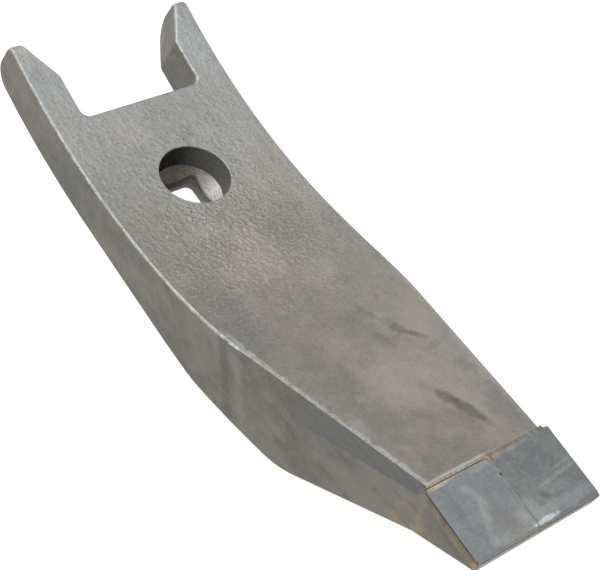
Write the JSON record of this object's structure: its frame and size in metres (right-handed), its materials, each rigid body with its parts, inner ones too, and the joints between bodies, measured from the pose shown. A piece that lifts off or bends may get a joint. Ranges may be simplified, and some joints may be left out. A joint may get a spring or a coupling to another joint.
{
  "type": "cultivator point",
  "caption": "Bolt-on tine point: long forged steel wedge, slightly hollow along its length, with a forked upper end, a countersunk square-neck bolt hole and brazed carbide plates on the toe.",
  "frame": {"origin": "on the bolt hole's axis, in the plane of the flat back face that lies on the tine", "axes": "+X down the point towards the carbide toe, +Y to the right seen from the front, +Z out of the back face through the bolt hole towards the soil side"},
  "size_m": [0.2646, 0.08, 0.0617],
  "materials": {
    "forged_steel": "forged and shot-blasted, bare, matte grey-brown",
    "tungsten_carbide": "sintered tungsten carbide, smooth, satin blue-grey",
    "braze": "dull, heat-browned copper-alloy braze"
  },
  "bodies": {
    "root": {"point_body": "forged_steel", "carbide_plate_left": "tungsten_carbide", "carbide_plate_right": "tungsten_carbide", "braze_bed_left": "braze", "braze_bed_right": "braze", "braze_centre_seam": "braze", "braze_step_bead": "braze", "braze_fillet_left": "braze", "braze_fillet_right": "braze"}
  },
  "joints": []
}
